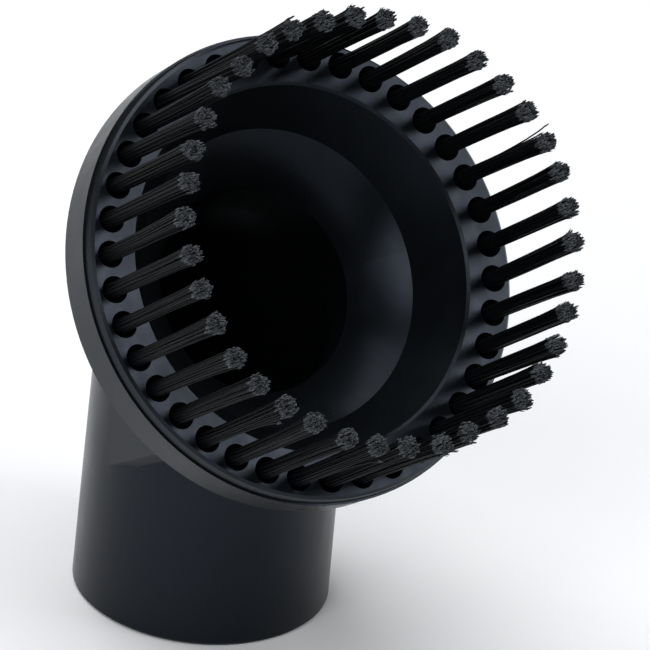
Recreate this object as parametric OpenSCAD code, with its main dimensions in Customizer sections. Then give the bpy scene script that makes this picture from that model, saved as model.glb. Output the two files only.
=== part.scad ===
// Round dusting brush for a vacuum cleaner's wand.
// One moulding holds a socket tube, a bent neck and a thick round head. The head's ring face
// carries one circle of bristle tufts. The brush stands on the open end of its tube.
// The moulding is drawn as two sub-parts that meet at the ledge inside the tube.
// The origin is the centre of the socket's mouth, +Z runs up the tube and the head leans to -Y.

/* [Socket tube] */
// Outside diameter of the wand that the socket takes
wand_d = 32; // [30:0.5:35]
// Room between the wand and the socket's wall, on the radius
wand_gap = 0.1; // [0.05:0.05:0.3]
// Depth of the socket, from the mouth to the ledge that stops the wand
socket_depth = 26; // [20:1:30]
// Width of the ledge that stops the wand
stop_ledge = 1; // [0.5:0.1:1.5]
// Thickness of the tube's wall at the mouth
tube_wall = 2.65; // [2.2:0.05:3.2]
// How much the tube's outside radius shrinks from the mouth up to the bend
tube_draft = 0.45; // [0.1:0.05:0.8]

/* [Neck] */
// Height of the bend above the mouth
bend_height = 46.5; // [44:0.5:56]
// Lean of the head's axis away from the tube's axis, in degrees
head_lean = 51; // [45:1:56]
// Distance from the bend to the ring face, along the head's axis
neck_length = 23.6; // [22:0.2:28]
// Radius of the funnel's outer edge, at the foot of the dish's wall
funnel_r = 21.8; // [21:0.2:23]
// Slope of the funnel at its outer edge, in degrees
funnel_slope = 38; // [34:1:42]
// Radius of the curve that bends the funnel down into the neck
funnel_curve = 30; // [26:1:36]
// Thickness of the moulding outside the funnel, at the back of the head
neck_wall = 3.3; // [2.6:0.1:4]

/* [Side webs] */
// Height at which the flat side webs leave the tube
web_height = 22; // [20:0.5:26]
// Rise of the lower edge of the webs towards the head, in degrees
web_rise = 34; // [28:1:38]
// Thickness of each web
web_wall = 2.4; // [1.8:0.1:2.8]
// Bevel on the lower outside edge of each web
web_bevel = 1.2; // [0.8:0.1:1.6]

/* [Head] */
// Largest diameter of the head, at the line where its two side bands meet
head_d = 68; // [66:0.5:74]
// Height of the head's side, from the back to the ring face
head_height = 8.75; // [8.2:0.05:11]
// Height of the front side band, between the ring face and the line
front_band = 1.9; // [1.2:0.1:3]
// How far the front band stands back from the rear band at the line
band_step = 0.3; // [0.1:0.05:0.5]
// How much each band draws in towards its own end
band_draft = 0.25; // [0.1:0.05:0.4]
// Width of the ring, from the head's largest radius to the dish
ring_w = 7.6; // [7:0.1:9]
// Depth of the foot of the dish's wall below the ring face
dish_depth = 8; // [7:0.1:8.4]
// Bevel on the edges of the ring face
face_bevel = 0.4; // [0.2:0.1:0.6]
// Bevel on the back edge of the head
back_bevel = 0.9; // [0.5:0.1:1.5]

/* [Tufts] */
// Number of bristle tufts in the circle
tuft_count = 38; // [32:1:40]
// Distance of the tufts' centres from the head's largest radius
tuft_inset = 3.4; // [3.2:0.1:3.8]
// Length of the bristles that stand out of the ring face
bristle_length = 24.5; // [15:0.5:32]
// Diameter of the blind hole that each tuft is set in
hole_d = 2.9; // [2.6:0.1:3.1]
// Depth of the blind hole below the ring face
hole_depth = 6.6; // [5:0.1:7]
// Diameter of the bevelled mouth of each hole
hole_mouth_d = 3.9; // [3.4:0.1:4]
// Depth of the bevelled mouth of each hole
hole_mouth_depth = 1.2; // [0.6:0.1:1.6]
// Room between the tuft's root and the hole, on the radius
tuft_gap = 0.05; // [0.02:0.01:0.1]
// Diameter of a tuft at its waist, just above the ring face
tuft_waist_d = 2.4; // [2:0.1:2.6]
// Diameter of a tuft at its tip, where the cut bristles spread
tuft_tip_d = 2.9; // [2.7:0.1:3.6]

/* [Anchors] */
// Thickness of the flat wire that each tuft is folded round
anchor_wall = 0.35; // [0.25:0.05:0.5]
// Height of the flat wire, which stands on its edge
anchor_height = 1.7; // [1.2:0.1:2.2]
// Thickness of the folded bristles under the flat wire
fold_height = 0.5; // [0.3:0.05:0.8]

/* [Hidden] */
$fn = 96;
body_black = [0.13, 0.13, 0.14];
bristle_black = [0.10, 0.10, 0.11];
wire_grey = [0.62, 0.62, 0.60];
cut_margin = 1;

// tube
socket_r = wand_d / 2 + wand_gap;
mouth_r = socket_r + tube_wall;
bore_r = socket_r - stop_ledge;
bend_r = mouth_r - tube_draft;
mouth_bevel = tube_wall / 6;

// ball at the bend: a trace larger than the tube and the neck's cone, so both run into it cleanly
ball_rise = 0.12;
ball_r = bend_r + ball_rise;

// head, in its own frame: the bend is the origin and Z runs along the head's axis
head_r = head_d / 2;
head_back = neck_length - head_height;
line_at = neck_length - front_band;
dish_r = head_r - ring_w;
dish_foot_at = neck_length - dish_depth;

// funnel: its curve steepens from the foot of the dish's wall until it meets the neck's bore
curve_r = funnel_r + funnel_curve * sin(funnel_slope);
curve_at = dish_foot_at - funnel_curve * cos(funnel_slope);
throat_at = curve_at + sqrt(pow(funnel_curve, 2) - pow(curve_r - bore_r, 2));

// neck's outside: a cone that runs from the ball at the bend out to the back of the head
neck_back_r = curve_r - sqrt(pow(funnel_curve, 2) - pow(head_back - curve_at, 2)) + neck_wall;
neck_back_reach = norm([neck_back_r, head_back]);
cone_angle = atan2(neck_back_r, head_back) + acos(bend_r / neck_back_reach);
cone_start = bend_r * cos(cone_angle);
cone_start_r = bend_r * sin(cone_angle);

// webs: their flat outside lies a little inside the tube's widest line, so they grow out of it cleanly
web_inset = 0.05;
web_x = mouth_r - tube_draft * web_height / bend_height - web_inset;
web_tall = (bend_height - web_height) * cos(web_rise);
web_reach = head_r + neck_length;

// tufts
tuft_circle_r = head_r - tuft_inset;
root_r = hole_d / 2 - tuft_gap;
hole_bottom = neck_length - hole_depth;
waist_above_face = 1.5;
tip_spread_length = bristle_length / 5;
tip_round = 0.7;
anchor_corner_r = (root_r + hole_d / 2) / 2;
anchor_w = 2 * sqrt(pow(anchor_corner_r, 2) - pow(anchor_wall / 2, 2));

function two_digits(i) = i < 10 ? str("0", i) : str(i);
function tuft_name(i) = str("tuft_", two_digits(i));

// Places its children in the head's frame.
module on_head() {
    translate([0, 0, bend_height]) rotate([head_lean, 0, 0]) children();
}

// Places its children at the bottom of the hole of tuft i.
module in_hole(i) {
    on_head() rotate([0, 0, 90 - 360 * (i - 1) / tuft_count])
        translate([tuft_circle_r, 0, hole_bottom]) children();
}

// Outside of the socket tube, with a small bevel at the mouth.
module tube_outside() {
    rotate_extrude() polygon([
        [0, 0],
        [mouth_r - mouth_bevel, 0],
        [mouth_r, mouth_bevel],
        [bend_r, bend_height],
        [0, bend_height]
    ]);
}

// Socket for the wand, the ledge that stops it and the narrower bore above.
module tube_inside() {
    translate([0, 0, -cut_margin]) cylinder(r = socket_r, h = socket_depth + cut_margin);
    translate([0, 0, socket_depth - cut_margin])
        cylinder(r = bore_r, h = bend_height - socket_depth + cut_margin);
    translate([0, 0, bend_height]) sphere(r = bore_r);
}

// Outside of the head and neck: two side bands, a flat back and a cone down to the bend.
module head_outside() {
    rotate_extrude() polygon([
        [0, cone_start],
        [cone_start_r, cone_start],
        [neck_back_r, head_back],
        [head_r - band_draft - back_bevel, head_back],
        [head_r - band_draft, head_back + back_bevel],
        [head_r, line_at],
        [head_r - band_step, line_at],
        [head_r - band_step - band_draft, neck_length - face_bevel],
        [head_r - band_step - band_draft - face_bevel, neck_length],
        [0, neck_length]
    ]);
}

// Inside of the head and neck: the dish with its steep wall, the funnel and the neck's bore.
module head_inside() {
    rotate_extrude() {
        polygon([
            [0, dish_foot_at],
            [funnel_r, dish_foot_at],
            [dish_r, neck_length - face_bevel],
            [dish_r + face_bevel + cut_margin, neck_length + cut_margin],
            [0, neck_length + cut_margin]
        ]);
        difference() {
            translate([0, throat_at]) square([funnel_r, dish_foot_at - throat_at]);
            translate([curve_r, curve_at]) circle(r = funnel_curve);
        }
        square([bore_r, throat_at]);
    }
}

// Outline of one web across its length: flat outside, with a bevel on the lower outside edge.
module web_outline() {
    polygon([
        [web_x - web_wall, 0],
        [web_x - web_bevel, 0],
        [web_x, web_bevel],
        [web_x, web_tall],
        [web_x - web_wall, web_tall]
    ]);
}

// Flat webs on both sides, from the tube's widest line forward to the back of the head.
module side_webs() {
    intersection() {
        for (side = [0, 1]) mirror([side, 0, 0])
            translate([0, 0, web_height]) rotate([90 - web_rise, 0, 0])
                translate([0, 0, -web_tall]) linear_extrude(web_tall + web_reach) web_outline();
        translate([-head_r, -web_reach, 0]) cube([head_d, web_reach, bend_height + web_reach]);
        on_head() translate([-head_r, -web_reach, -web_reach])
            cube([head_d, 2 * web_reach, web_reach + (head_back + neck_length) / 2]);
    }
}

// One blind hole with a bevelled mouth.
module tuft_hole() {
    cylinder(r = hole_d / 2, h = hole_depth + cut_margin);
    translate([0, 0, hole_depth - hole_mouth_depth])
        cylinder(r1 = hole_d / 2, r2 = hole_mouth_d / 2, h = hole_mouth_depth);
}

// The space round the socket, from the mouth to the ledge.
module socket_zone() {
    translate([0, 0, -cut_margin]) cylinder(r = mouth_r + cut_margin, h = socket_depth + cut_margin);
}

// Lower end of the moulding, round the socket.
module socket_tube() {
    color(body_black) difference() {
        intersection() {
            union() {
                tube_outside();
                side_webs();
            }
            socket_zone();
        }
        tube_inside();
    }
}

// The rest of the moulding: bend, neck, side webs and head.
module neck_and_head() {
    color(body_black) difference() {
        union() {
            tube_outside();
            translate([0, 0, bend_height]) sphere(r = ball_r);
            on_head() head_outside();
            side_webs();
        }
        socket_zone();
        tube_inside();
        on_head() head_inside();
        for (i = [1 : tuft_count]) in_hole(i) tuft_hole();
    }
}

// Flat wire across the lower end of a hole.
module anchor() {
    translate([-anchor_wall / 2, -anchor_w / 2, fold_height]) cube([anchor_wall, anchor_w, anchor_height]);
}

// All the flat wires.
module tuft_anchors() {
    color(wire_grey) for (i = [1 : tuft_count]) in_hole(i) anchor();
}

// One tuft: root in the hole, waist at the ring face, tip spread where the bristles are cut.
module tuft(i) {
    color(bristle_black) in_hole(i) difference() {
        rotate_extrude($fn = 48) polygon([
            [0, 0],
            [root_r, 0],
            [root_r, hole_depth - hole_mouth_depth],
            [tuft_waist_d / 2, hole_depth + waist_above_face],
            [(tuft_waist_d + tuft_tip_d) / 4, hole_depth + bristle_length - tip_spread_length],
            [tuft_tip_d / 2, hole_depth + bristle_length - tip_round],
            [tuft_tip_d / 2 - tip_round, hole_depth + bristle_length],
            [0, hole_depth + bristle_length]
        ]);
        anchor();
    }
}

socket_tube();
neck_and_head();
tuft_anchors();
for (i = [1 : tuft_count]) tuft(i);
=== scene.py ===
import math
import random

import bpy
from mathutils import Matrix, Vector


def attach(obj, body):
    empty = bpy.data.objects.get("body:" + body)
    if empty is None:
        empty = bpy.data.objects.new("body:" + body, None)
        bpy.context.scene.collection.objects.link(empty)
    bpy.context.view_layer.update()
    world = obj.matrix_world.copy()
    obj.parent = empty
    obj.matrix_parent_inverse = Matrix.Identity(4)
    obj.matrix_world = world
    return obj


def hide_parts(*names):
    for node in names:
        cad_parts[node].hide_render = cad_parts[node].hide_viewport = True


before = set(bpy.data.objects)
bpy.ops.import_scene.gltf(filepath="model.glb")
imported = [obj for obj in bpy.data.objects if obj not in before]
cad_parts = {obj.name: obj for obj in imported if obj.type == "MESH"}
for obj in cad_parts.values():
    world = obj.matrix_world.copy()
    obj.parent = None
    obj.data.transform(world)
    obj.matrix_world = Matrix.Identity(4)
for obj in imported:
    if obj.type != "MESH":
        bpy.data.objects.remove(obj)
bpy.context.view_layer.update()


# The moulding: socket tube, bend, neck and head in one shot of black polypropylene.
# Semi-gloss from a polished tool, with faint flow marks and the fine scuffs of handling.
# To the eye it is a deep black with soft, broad and slightly blue highlights.

flow_mark, scuff, tool_grain = 14, 2.2, 0.35     # mm across; the tool's real grain is finer
sink_depth, tool_grain_depth = 0.06, 0.012       # mm
noise_low, noise_high = 0.3, 0.7                 # the range that most of a noise lies in


def colour(code):
    """The linear colour of an sRGB hex code."""
    parts = [int(code[i:i + 2], 16) / 255 for i in (0, 2, 4)]
    return [p / 12.92 if p <= 0.04045 else ((p + 0.055) / 1.055) ** 2.4 for p in parts] + [1]


def add(material, kind, settings, links=()):
    """Adds a shader node, with its settings and with links {input: (node, output)}."""
    tree = material.node_tree
    made = tree.nodes.new("ShaderNode" + kind)
    for name, value in settings.items():
        if name in made.inputs:
            made.inputs[name].default_value = value
        else:
            setattr(made, name, value)
    for name, (source, output) in dict(links).items():
        tree.links.new(source.outputs[output], made.inputs[name])
    return made


def new_material(name):
    """An empty material, with its object coordinates."""
    made = bpy.data.materials.new(name)
    made.use_nodes = True
    made.node_tree.nodes.clear()
    return made, add(made, "TexCoord", {})


polypropylene, coordinates = new_material("black moulded polypropylene")
flow_marks = add(polypropylene, "TexNoise", {"Scale": 1000 / flow_mark, "Detail": 3},
                 {"Vector": (coordinates, "Object")})
along_tube = add(polypropylene, "Mapping", {"Scale": (1, 1, 0.25)},
                 {"Vector": (coordinates, "Object")})
scuffs = add(polypropylene, "TexNoise", {"Scale": 1000 / scuff, "Detail": 4},
             {"Vector": (along_tube, "Vector")})
texture = add(polypropylene, "TexNoise", {"Scale": 1000 / tool_grain, "Detail": 2},
              {"Vector": (coordinates, "Object")})
tint = add(polypropylene, "ValToRGB", {}, {"Fac": (flow_marks, "Fac")})
tint.color_ramp.elements[0].color = colour("07090b")
tint.color_ramp.elements[1].color = colour("0d1013")
moulded = add(polypropylene, "MapRange",
              {"From Min": noise_low, "From Max": noise_high, "To Min": 0.25, "To Max": 0.31},
              {"Value": (flow_marks, "Fac")})
worn = add(polypropylene, "MapRange",
           {"From Min": noise_low, "From Max": noise_high, "To Min": 0.0, "To Max": 0.07},
           {"Value": (scuffs, "Fac")})
roughness = add(polypropylene, "Math", {"operation": "ADD"},
                {0: (moulded, "Result"), 1: (worn, "Result")})
sink = add(polypropylene, "Bump", {"Strength": 1, "Distance": sink_depth / 1000},
           {"Height": (flow_marks, "Fac")})
fine = add(polypropylene, "Bump", {"Strength": 0.35, "Distance": tool_grain_depth / 1000},
           {"Height": (texture, "Fac"), "Normal": (sink, "Normal")})
shader = add(polypropylene, "BsdfPrincipled",
             {"Specular IOR Level": 0.26, "Specular Tint": colour("d6e6ff")},
             {"Base Color": (tint, "Color"), "Roughness": (roughness, "Value"),
              "Normal": (fine, "Normal")})
add(polypropylene, "OutputMaterial", {}, {"Surface": (shader, "BSDF")})

for name in ("socket_tube", "neck_and_head"):
    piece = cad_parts[name]
    piece.data.materials.clear()
    piece.data.materials.append(polypropylene)


# The anchors: short lengths of flat galvanised wire, each driven into a hole across a folded tuft.
# They sit at the bottom of the holes, so they hardly show: a dull grey metal with small spangles.

spangle = 0.8                                    # mm across

wire, coordinates = new_material("galvanised flat wire")
spangles = add(wire, "TexNoise", {"Scale": 1000 / spangle, "Detail": 3},
               {"Vector": (coordinates, "Object")})
tint = add(wire, "ValToRGB", {}, {"Fac": (spangles, "Fac")})
tint.color_ramp.elements[0].color = colour("8f9190")
tint.color_ramp.elements[1].color = colour("b9bab6")
roughness = add(wire, "MapRange",
                {"From Min": noise_low, "From Max": noise_high, "To Min": 0.3, "To Max": 0.5},
                {"Value": (spangles, "Fac")})
shader = add(wire, "BsdfPrincipled", {"Metallic": 1},
             {"Base Color": (tint, "Color"), "Roughness": (roughness, "Result")})
add(wire, "OutputMaterial", {}, {"Surface": (shader, "BSDF")})

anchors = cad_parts["tuft_anchors"]
anchors.data.materials.clear()
anchors.data.materials.append(wire)


# The tufts: 38 bundles of black drawn nylon, folded round the flat wire in the bottom of the holes.
# The shafts are smooth and dark, and the cut ends are split and ruffled, so they look greyer.

# All sizes are in mm. Heights are above the bottom of the hole.
tuft_count = 38
folded_lengths = 44                              # in one tuft, with two ends each
filament_r, filament_sides = 0.118, 5
mottle = 0.5                                     # coarser than the real one, so that it shows
bend_height, head_lean = 46.5, 51                # foot of the head's axis, and its lean in degrees
circle_r, hole_bottom = 30.6, 17.0               # from the head's axis, and up it from the bend
face_at, cut_at = 6.6, 31.1
fold_at, fold_end = 0.2, 2
anchor_half = 0.3
ruffled_length = 2.6

# Radius of the bundle at each height, and the heights at which a filament has a point.
bundle = [(0, 1.2), (5.4, 1.2), (8.1, 1.08), (14, 1.12), (25, 1.18), (28.5, 1.28), (31.1, 1.42)]
heights = [0.9, 5.6, 8.1, 12, 16, 20, 24, 27.5, 28.8, 29.8, 30.5, 31.1]

# How the bundles differ: lean of the whole tuft across and along its wire, and drift and crimp
# of each filament.
first_seed = 400
lean_spread = (0.16, 0.2)
drift_spread = 0.22
crimp_least, crimp_most = 0.03, 0.13
crimp_waves = (2.6, 2.1)                         # radians for each mm
any_turn = 6.28                                  # radians, so that no two wander alike

# The cut: the outer filaments end lower than the middle ones, and none quite alike.
crown, uneven_cut = 0.85, 0.08

# A few outer filaments stray this far out of the bundle.
stray_reaches, stray_share, stray_ring = [0.9, 1.3, 1.9], 0.015, 0.8

# Sunflower spacing of the folded lengths over the half disc on one side of the wire. Their other
# legs mirror it, each with a small shift.
golden_angle = 2.39996
beside_wire, across_wire, along_wire = 0.06, 0.94, 0.97
leg_shift = 0.05

# The fine hairs that each cut end splits into, from its fourth point, counted from the tip.
hairs_at_end, hair_root = 3, -4
hair_radii = [0.07, 0.065, 0.035]
hair_sides = 3
hair_lean, hair_bend, hair_loss = 0.1, 0.08, 0.4
blunt_tip = 0.55                                 # share of the filament's radius at its end


def filament_material(name, dark, light, smooth, rough):
    """Nylon filament with small lighter and rougher patches."""
    made, coordinates = new_material(name)
    patches = add(made, "TexNoise", {"Scale": 1000 / mottle, "Detail": 2},
                  {"Vector": (coordinates, "Object")})
    tint = add(made, "ValToRGB", {}, {"Fac": (patches, "Fac")})
    tint.color_ramp.elements[0].position, tint.color_ramp.elements[1].position = 0.35, 0.65
    tint.color_ramp.elements[0].color = colour(dark)
    tint.color_ramp.elements[1].color = colour(light)
    roughness = add(made, "MapRange",
                    {"From Min": noise_low, "From Max": noise_high, "To Min": smooth, "To Max": rough},
                    {"Value": (patches, "Fac")})
    shader = add(made, "BsdfPrincipled", {"Specular IOR Level": 0.09},
                 {"Base Color": (tint, "Color"), "Roughness": (roughness, "Result")})
    add(made, "OutputMaterial", {}, {"Surface": (shader, "BSDF")})
    return made


nylon = filament_material("black nylon filament", "0b0c0e", "15171a", 0.4, 0.55)
ruffled_nylon = filament_material("ruffled nylon ends", "3c3f43", "62666b", 0.6, 0.8)


def bundle_radius(height):
    """The bundle's radius at a height, on straight lines between the given ones."""
    for (low, r_low), (high, r_high) in zip(bundle, bundle[1:]):
        if height <= high:
            return r_low + (r_high - r_low) * (height - low) / (high - low)


def strand(points, radii, sides, mesh):
    """Adds a closed thin strand along the points to mesh, which is (vertices, faces, ruffled)."""
    vertices, faces, ruffled = mesh
    start = len(vertices)
    for k, (point, radius) in enumerate(zip(points, radii)):
        ahead = points[min(k + 1, len(points) - 1)] - points[max(k - 1, 0)]
        ahead.normalize()
        across = ahead.cross(Vector((0, 1, 0)))
        across.normalize()
        other = ahead.cross(across)
        for s in range(sides):
            turn = 2 * math.pi * s / sides
            vertices.append(point + (across * math.cos(turn) + other * math.sin(turn)) * radius)
    for k in range(len(points) - 1):
        low = min(points[k].z, points[k + 1].z)
        for s in range(sides):
            a, b = start + k * sides + s, start + k * sides + (s + 1) % sides
            faces.append((a, b, b + sides, a + sides))
            ruffled.append(low > cut_at - ruffled_length)
    for ring in (start, start + (len(points) - 1) * sides):
        faces.append(tuple(ring + s for s in range(sides)))
        ruffled.append(True)


def leg(u, v, lean, chance, stray=0.0):
    """Points up one leg of a filament that leaves the hole at (u, v) in the bundle's unit disc."""
    phase, turn = chance.uniform(0, any_turn), chance.uniform(0, any_turn)
    drift = chance.gauss(0, drift_spread)
    crimp = chance.uniform(crimp_least, crimp_most)
    lost = crown * (u * u + v * v) ** 1.5 + abs(chance.gauss(0, uneven_cut))
    points = []
    for height in heights:
        wide = bundle_radius(height)
        rise = max(0, (height - face_at) / (cut_at - face_at))
        x, y = u * wide, v * wide
        if height < fold_end:
            x = math.copysign(max(abs(x), anchor_half), x)
        wander = drift * rise + stray * rise ** 3
        x += lean[0] * rise ** 2 + wander * math.cos(turn)
        y += lean[1] * rise ** 2 + wander * math.sin(turn)
        ruffle = max(0, (height - cut_at + ruffled_length) / ruffled_length)
        x += crimp * ruffle * math.sin(height * crimp_waves[0] + phase)
        y += crimp * ruffle * math.cos(height * crimp_waves[1] + phase * 1.7)
        points.append(Vector((x, y, height - lost * rise ** 6)))
    return points


def hair(end, chance):
    """Points up one of the fine hairs that a cut end splits into."""
    bottom = end[hair_root]
    lean = Vector((chance.gauss(0, hair_lean), chance.gauss(0, hair_lean), 0))
    top = end[-1] + lean + Vector((0, 0, chance.uniform(-hair_loss, 0.0)))
    bend = Vector((chance.gauss(0, hair_bend), chance.gauss(0, hair_bend), 0))
    return [bottom, (bottom + top) / 2 + bend, top]


for i in range(1, tuft_count + 1):
    chance = random.Random(first_seed + i)
    lean = (chance.gauss(0, lean_spread[0]), chance.gauss(0, lean_spread[1]))
    mesh = ([], [], [])
    for k in range(folded_lengths):
        reach, angle = math.sqrt((k + 0.5) / folded_lengths), k * golden_angle
        u = abs(reach * math.cos(angle)) * across_wire + beside_wire
        v = reach * math.sin(angle) * along_wire
        strays = chance.choice(stray_reaches) if (
            chance.random() < stray_share and reach > stray_ring) else 0.0
        right = leg(u, v, lean, chance, strays)
        left = leg(-u, v + chance.uniform(-leg_shift, leg_shift), lean, chance)
        fold = Vector((0, right[0].y, fold_at))
        points = right[::-1] + [fold] + left
        radii = [filament_r] * len(points)
        radii[0] = radii[-1] = filament_r * blunt_tip
        strand(points, radii, filament_sides, mesh)
        for end in (right, left):
            for _ in range(hairs_at_end):
                strand(hair(end, chance), hair_radii, hair_sides, mesh)
    vertices, faces, ruffled = mesh
    place = (Matrix.Scale(0.001, 4)
             @ Matrix.Translation((0, 0, bend_height))
             @ Matrix.Rotation(math.radians(head_lean), 4, "X")
             @ Matrix.Rotation(math.radians(90 - 360 * (i - 1) / tuft_count), 4, "Z")
             @ Matrix.Translation((circle_r, 0, hole_bottom)))
    data = bpy.data.meshes.new(f"bristles_{i:02d}")
    data.from_pydata([place @ v for v in vertices], [], faces)
    data.materials.append(nylon)
    data.materials.append(ruffled_nylon)
    data.polygons.foreach_set("material_index", [int(r) for r in ruffled])
    data.polygons.foreach_set("use_smooth", [True] * len(faces))
    data.update()
    bristles = bpy.data.objects.new(f"bristles_{i:02d}", data)
    bpy.context.scene.collection.objects.link(bristles)
    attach(bristles, "root")
    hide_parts(f"tuft_{i:02d}")


# The studio: a floor of white paper, matt and faintly clouded, and soft square lights overhead,
# behind, right and left of the brush. All sizes are in metres.

cloud = 30                                       # mm across
floor_reach = 3

paper, coordinates = new_material("white paper floor")
clouds = add(paper, "TexNoise", {"Scale": 1000 / cloud, "Detail": 2},
             {"Vector": (coordinates, "Object")})
tint = add(paper, "ValToRGB", {}, {"Fac": (clouds, "Fac")})
tint.color_ramp.elements[0].color = colour("f6f8fb")
tint.color_ramp.elements[1].color = colour("fbfcfe")
shader = add(paper, "BsdfPrincipled", {"Specular IOR Level": 0.1, "Roughness": 0.9},
             {"Base Color": (tint, "Color")})
add(paper, "OutputMaterial", {}, {"Surface": (shader, "BSDF")})

data = bpy.data.meshes.new("floor")
corners = [(-1, -1), (1, -1), (1, 1), (-1, 1)]
data.from_pydata([(x * floor_reach, y * floor_reach, 0) for x, y in corners], [], [(0, 1, 2, 3)])
data.materials.append(paper)
floor = bpy.data.objects.new("floor", data)
bpy.context.scene.collection.objects.link(floor)

world = bpy.data.worlds.new("studio")
bpy.context.scene.world = world
world.use_nodes = True
world.node_tree.nodes["Background"].inputs["Color"].default_value = colour("f4f6fa")
world.node_tree.nodes["Background"].inputs["Strength"].default_value = 0.08

lit_point = Vector((0, -0.02, 0.055))
for name, place, size, brightness in (
        ("overhead", (0.1, -0.35, 1.6), 1.0, 2.6),
        ("rear", (-0.1, 0.45, 0.9), 0.8, 3.2),
        ("right", (0.68, -0.85, 0.87), 0.45, 6.5),
        ("left", (-0.82, -0.48, 0.8), 0.7, 3.4)):
    data = bpy.data.lights.new(name, "AREA")
    data.shape = "SQUARE"
    data.size = size
    data.energy = brightness * math.pi * size * size
    lamp = bpy.data.objects.new(name, data)
    lamp.location = place
    lamp.rotation_mode = "QUATERNION"
    lamp.rotation_quaternion = (lit_point - lamp.location).to_track_quat("-Z", "Y")
    bpy.context.scene.collection.objects.link(lamp)


# The camera: at the front left and above, turned a little, with a long lens from over a metre.
# Angles are in degrees: round from the front, up from the floor, and the camera's own turn.

azimuth, elevation, roll = math.radians(-35.13), math.radians(28.41), math.radians(5.86)
aim, distance = Vector((0.0011, -0.0233, 0.0542)), 1.223
back = Vector((math.sin(azimuth) * math.cos(elevation),
               -math.cos(azimuth) * math.cos(elevation), math.sin(elevation)))
level = Vector((0, 0, 1)).cross(back).normalized()
upright = back.cross(level)
right = level * math.cos(roll) + upright * math.sin(roll)
up = upright * math.cos(roll) - level * math.sin(roll)
lens = bpy.data.cameras.new("camera")
lens.lens, lens.sensor_width = 480, 36
lens.clip_start, lens.clip_end = 0.05, 20
camera = bpy.data.objects.new("camera", lens)
turned = Matrix((right, up, back)).transposed().to_4x4()
camera.matrix_world = Matrix.Translation(aim + back * distance) @ turned
bpy.context.scene.collection.objects.link(camera)
bpy.context.scene.camera = camera
bpy.context.scene.view_settings.view_transform = "Standard"
